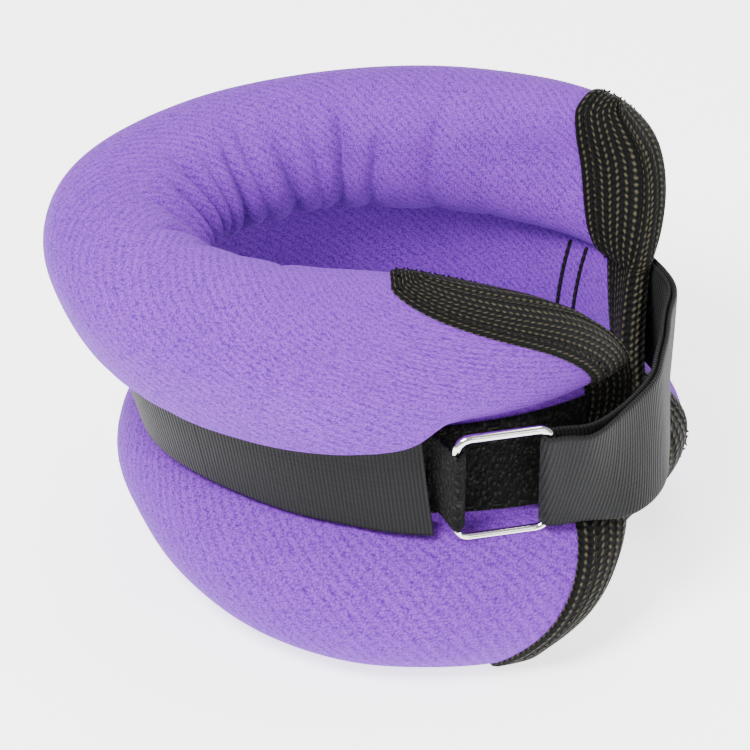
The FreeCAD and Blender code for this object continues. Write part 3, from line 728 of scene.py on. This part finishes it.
heights = STRAP_LOW + (STRAP_HIGH - STRAP_LOW) * (ACROSS + 1) / 2
strap_count = 900
strap = np.stack([smooth_line(strap_line(z), strap_count) for z in heights], axis=1)
walk = np.gradient(strap, axis=0)
strap_out = unit(np.cross(walk, UP))
strap_rows = ribbon(strap, strap_out, 0.75)
strap_uv = tape_uv(strap)
centre = strap[:, len(ACROSS) // 2]
near_bar = (centre - RIGHT_BAR) @ ALONG
on_fold = np.where((near_bar < 19) & (centre[:, 0] > 40) & (centre[:, 1] < -45))[0]
on_fold = on_fold[on_fold < strap_count / 2]
plan = np.degrees(np.arctan2(centre[:, 1] - 4.4, centre[:, 0] + 0.7)) % 360
later = np.arange(len(plan)) > on_fold[-1] + 40
rear_turn = np.where(later & (plan > 90) & (plan < 100))[0][0]
tail_turn = np.where(later & (plan > 222) & (plan < 235))[0][0]

# Woven polypropylene: charcoal with a low sheen and fine cross ribs, drawn 1.1 mm apart so
# that they show, between smooth black selvedges.
webbing = finish_of("polypropylene_webbing_ribbed_charcoal")
place = node(webbing, "ShaderNodeUVMap", uv_map="cloth_mm")
parts = node(webbing, "ShaderNodeSeparateXYZ", {"Vector": place.outputs["UV"]})
phase = node(webbing, "ShaderNodeMath", {0: parts.outputs["X"], 1: 2 * math.pi / 1.1},
             operation="MULTIPLY")
ribs = node(webbing, "ShaderNodeMath", {0: phase.outputs[0]}, operation="SINE")
phase = node(webbing, "ShaderNodeMath", {0: parts.outputs["Y"], 1: 2 * math.pi / 1.5},
             operation="MULTIPLY")
ends = node(webbing, "ShaderNodeMath", {0: phase.outputs[0]}, operation="SINE")
cross = node(webbing, "ShaderNodeMath", {0: ribs.outputs[0], 1: ends.outputs[0]},
             operation="MULTIPLY")
fibres = node(webbing, "ShaderNodeTexNoise", {"Vector": place.outputs["UV"], "Scale": 1 / 0.8,
                                              "Detail": 4.0, "Roughness": 0.7})
height = node(webbing, "ShaderNodeMath", {0: cross.outputs[0], 1: 0.35, 2: ribs.outputs[0]},
              operation="MULTIPLY_ADD")
height = node(webbing, "ShaderNodeMath", {0: fibres.outputs["Fac"], 1: 1.5,
                                          2: height.outputs[0]}, operation="MULTIPLY_ADD")
tone = node(webbing, "ShaderNodeMapRange", {"Value": height.outputs[0], "From Min": -0.4,
                                            "From Max": 2.0})
colour = node(webbing, "ShaderNodeMix", {"Factor": tone.outputs["Result"],
                                         "A": linear("#0A0A0B"), "B": linear("#1F2021")},
              data_type="RGBA")
edge = node(webbing, "ShaderNodeMath", {0: parts.outputs["Y"], 1: 15.0}, operation="SUBTRACT")
edge = node(webbing, "ShaderNodeMath", {0: edge.outputs[0]}, operation="ABSOLUTE")
selvedge = node(webbing, "ShaderNodeMapRange", {"Value": edge.outputs[0], "From Min": 13.8,
                                                "From Max": 14.5})
colour = node(webbing, "ShaderNodeMix", {"Factor": selvedge.outputs["Result"],
                                         "A": colour.outputs["Result"], "B": linear("#0B0B0B")},
              data_type="RGBA")
bump = node(webbing, "ShaderNodeBump", {"Height": height.outputs[0], "Strength": 0.6,
                                        "Distance": 0.22 * MM})
surface = node(webbing, "ShaderNodeBsdfPrincipled",
               {"Base Color": colour.outputs["Result"], "Roughness": 0.6,
                "Specular IOR Level": 0.16, "Sheen Weight": 0.03, "Sheen Roughness": 0.4,
                "Normal": bump.outputs["Normal"]})
node(webbing, "ShaderNodeOutputMaterial", {"Surface": surface.outputs["BSDF"]})

GAP_BEND = {"start": (0, 0.004, 0), "end": (0, -0.040, 0)}
hinge = (RIGHT_BAR + ALONG * 19.0) * MM
FOLD_BEND = {"start": tuple(hinge), "end": tuple((RIGHT_BAR + ALONG * 3.0) * MM)}
tail_hinge = np.array([-0.0500, -0.0409, 0.0555])
tail_way = unit(centre[tail_turn + 8] - centre[tail_turn])
TAIL_BEND = {"start": tuple(tail_hinge - tail_way * 0.002),
             "end": tuple(tail_hinge + tail_way * 0.016)}
pieces = (("strap_root_layer", 0, on_fold[0], ("rear_half", "front_half"), GAP_BEND,
           ("strap_root", "strap_gap_inner")),
          ("strap_ring_fold", on_fold[0], on_fold[-1], ("front_half", "ring_and_fold"),
           FOLD_BEND, ("strap_fold",)),
          ("strap_rear_run", on_fold[-1], rear_turn, ("rear_half", "front_half"), GAP_BEND,
           ("strap_back_run", "strap_gap_outer")),
          ("strap_left_run", rear_turn, tail_turn, ("rear_half", "front_half"), BEND,
           ("strap_front_run",)),
          ("strap_loose_tail", tail_turn, strap_count - 1, ("front_half", "tail"), TAIL_BEND,
           ("strap_tail",)))
for name, first, last, bodies, bend, stands_for in pieces:
    rows = slice(first, last + 1)
    piece = skin(name, strap_rows[rows], strap_uv[rows], webbing)
    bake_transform(piece)
    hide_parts(*stands_for)

# Hook tape. Stiff nylon hooks on a tape 25 mm wide, sewn under the strap's last stretch; it
# grips the loop pile and shows only as a thin dark layer under the webbing.
# Moulded nylon: rows of stiff hooks 1.4 mm apart, black with small sharp highlights, partly painted
# as grey tops.
hooks = finish_of("hook_tape_nylon_black")
place = node(hooks, "ShaderNodeUVMap", uv_map="cloth_mm")
barbs = node(hooks, "ShaderNodeTexVoronoi", {"Vector": place.outputs["UV"], "Scale": 1 / 1.4,
                                             "Randomness": 0.15})
tone = node(hooks, "ShaderNodeMapRange", {"Value": barbs.outputs["Distance"],
                                          "From Min": 0.1, "From Max": 0.5})
# The grey at the middle of each hook is painted highlight.
colour = node(hooks, "ShaderNodeMix", {"Factor": tone.outputs["Result"], "A": linear("#262626"),
                                       "B": linear("#060606")}, data_type="RGBA")
rise = node(hooks, "ShaderNodeMath", {0: 1.0, 1: barbs.outputs["Distance"]},
            operation="SUBTRACT")
bump = node(hooks, "ShaderNodeBump", {"Height": rise.outputs[0], "Strength": 1.0,
                                      "Distance": 0.8 * MM})
surface = node(hooks, "ShaderNodeBsdfPrincipled",
               {"Base Color": colour.outputs["Result"], "Roughness": 0.4,
                "Normal": bump.outputs["Normal"]})
node(hooks, "ShaderNodeOutputMaterial", {"Surface": surface.outputs["BSDF"]})
for name, first, last, bodies, bend, stands_for in (
        ("hook_tape_left", 190, 224.6, ("rear_half", "front_half"), BEND, "hook_tape_front"),
        ("hook_tape_loose", 225.4, 272, ("front_half", "tail"), TAIL_BEND, "hook_tape_tail")):
    angles = np.repeat(np.linspace(first, last, 60)[:, None], len(ACROSS), axis=1)
    middle, outward = laid(angles, PILE_LOW, PILE_HIGH, lambda a: strap_stand(a) - 1.45)
    piece = skin(name, ribbon(middle, outward, 0.6), tape_uv(middle), hooks)
    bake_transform(piece)
    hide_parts(stands_for)

# Ring. A rounded rectangle of 2.5 mm steel wire, butt-welded and bright chrome plated. Its
# left bar is held in the tab and the strap turns back round its right bar.
RING_LENGTH = 26.6
RING_RISE = 33.5


def rounded_path(count):
    """Points round the ring's wire, starting at the middle of its left bar."""
    corners = []
    bend = 4.0
    first, last, rise = bend, RING_LENGTH - bend, RING_RISE / 2 - bend
    for along, up, turn in ((first, -rise, 180), (last, -rise, 270), (last, rise, 0),
                            (first, rise, 90)):
        for t in np.radians(np.linspace(turn, turn + 90, 13)):
            corners.append((along + bend * math.cos(t), up + bend * math.sin(t)))
    corners = np.array(corners + corners[:1])
    travel = np.concatenate([[0], np.cumsum(np.linalg.norm(np.diff(corners, axis=0), axis=-1))])
    marks = np.linspace(0, travel[-1], count + 1)[:-1]
    along, up = (np.interp(marks, travel, corners[:, k]) for k in (0, 1))
    return LEFT_BAR + along[:, None] * ALONG + up[:, None] * UP


# Bright chrome on drawn wire: mirror-like, with a faint uneven haze from handling.
chrome = finish_of("steel_wire_chrome_plated_bright")
place = node(chrome, "ShaderNodeUVMap", uv_map="cloth_mm")
haze = node(chrome, "ShaderNodeTexNoise", {"Vector": place.outputs["UV"], "Scale": 1 / 3.0,
                                           "Detail": 4.0})
rough = node(chrome, "ShaderNodeMapRange", {"Value": haze.outputs["Fac"], "To Min": 0.05,
                                            "To Max": 0.16})
bump = node(chrome, "ShaderNodeBump", {"Height": haze.outputs["Fac"], "Strength": 0.06,
                                       "Distance": 0.1 * MM})
surface = node(chrome, "ShaderNodeBsdfPrincipled",
               {"Base Color": linear("#E6E4E0"), "Metallic": 1.0,
                "Roughness": rough.outputs["Result"], "Normal": bump.outputs["Normal"]})
node(chrome, "ShaderNodeOutputMaterial", {"Surface": surface.outputs["BSDF"]})

wire = rounded_path(240)
tangent = unit(np.roll(wire, -1, axis=0) - np.roll(wire, 1, axis=0))
side = np.broadcast_to(OUT, wire.shape)
lift = unit(np.cross(tangent, side))
turns = np.linspace(0, 2 * math.pi, 24, endpoint=False)[None, :, None]
rows = wire[:, None] + WIRE_RADIUS * (side[:, None] * np.cos(turns) + lift[:, None] * np.sin(turns))
rows = np.concatenate([rows, rows[:1]])
piece = skin("wire_ring", rows, spread(rows), chrome, None, (False, False))
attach(piece, "ring_and_fold")
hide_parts("ring")

# Ring tab. A short piece of the same loop-pile tape, sewn to the strip, taken round the
# ring's left bar and back on itself.
path = []
for angle in (273.5, 276, 279, 282):
    point, normal = sheet(angle, 55.5)
    path.append(point + normal * 4.95)
for turn in (-75, -30, 15, 60, 105):
    t = math.radians(turn)
    path.append(LEFT_BAR + ALONG * (2.15 * math.cos(t)) + OUT * (2.15 * math.sin(t)))
for angle in (282.5, 279, 276, 273.5):
    point, normal = sheet(angle, 55.5)
    path.append(point + normal * 6.25)
line = smooth_line(np.array(path), 90)
z = PILE_LOW + (PILE_HIGH - PILE_LOW) * (ACROSS + 1) / 2
middle = np.repeat(line[:, None], len(z), axis=1)
middle[..., 2] = z
outward = unit(np.cross(np.gradient(middle, axis=0), UP))
fuzz = seed.normal(0, 0.12, middle.shape[:2]) + 0.1
piece = skin("ring_tab_tape", ribbon(middle, outward, 0.55, np.clip(fuzz, -0.1, 0.4) * EDGE),
             tape_uv(middle), pile)
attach(piece, "front_half")
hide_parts("ring_tab")
heights = np.tile(np.arange(46.0, 67, 4.2), 2)
angles = np.repeat([275.0, 281.0], len(heights) // 2)
point, outward = sheet(angles, heights)
piece = stitches("tab_stitches", point + outward * 6.9, np.broadcast_to(UP, point.shape), outward,
                 length=3.4)
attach(piece, "front_half")
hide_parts("ring_tab_stitching")

# Studio. A plain white floor and soft light from above, left and front, with the camera
# standing off the cuff's gap side and looking down on it.
floor_mesh = bpy.data.meshes.new("studio_floor")
floor_mesh.from_pydata([(-6, -6, 0), (6, -6, 0), (6, 6, 0), (-6, 6, 0)], [], [(0, 1, 2, 3)])
floor = bpy.data.objects.new("studio_floor", floor_mesh)
bpy.context.scene.collection.objects.link(floor)
# Matt white paper, a little lit from behind so that it stays near white.
paper = finish_of("paper_backdrop_white_matt")
surface = node(paper, "ShaderNodeBsdfPrincipled", {"Base Color": linear("#FCFCFC"),
                                                   "Roughness": 0.95,
                                                   "Emission Color": linear("#FFFFFF"),
                                                   "Emission Strength": 2.2})
node(paper, "ShaderNodeOutputMaterial", {"Surface": surface.outputs["BSDF"]})
floor_mesh.materials.append(paper)

world = bpy.data.worlds.new("studio_air")
bpy.context.scene.world = world
world.use_nodes = True
world.node_tree.nodes["Background"].inputs["Color"].default_value = (1, 1, 1, 1)
world.node_tree.nodes["Background"].inputs["Strength"].default_value = 0.6


def softbox(name, place, size, watts):
    """Square area light that faces the cuff."""
    light = bpy.data.lights.new(name, "AREA")
    light.shape = "SQUARE"
    light.size = size
    light.energy = watts
    lamp = bpy.data.objects.new(name, light)
    lamp.location = place
    aim = np.array([0, 0, 0.05]) - np.array(place)
    lamp.rotation_euler = (math.atan2(math.hypot(aim[0], aim[1]), -aim[2]), 0,
                           math.atan2(aim[1], aim[0]) - math.pi / 2)
    bpy.context.scene.collection.objects.link(lamp)


softbox("key_above_left", (-0.45, -0.45, 1.0), 0.45, 28)
softbox("fill_front_right", (0.9, -0.9, 0.6), 0.9, 9)
softbox("top", (0.1, 0.5, 1.1), 0.8, 12)

camera = bpy.data.cameras.new("camera")
camera.lens = 184
camera.sensor_width = 36
eye = bpy.data.objects.new("camera", camera)
elevation = math.radians(36)
target = np.array([0.0, 0.0, 0.047])
eye.location = target + 1.1 * np.array([0, -math.cos(elevation), math.sin(elevation)])
eye.rotation_euler = (math.pi / 2 - elevation, 0, 0)
bpy.context.scene.collection.objects.link(eye)
bpy.context.scene.camera = eye
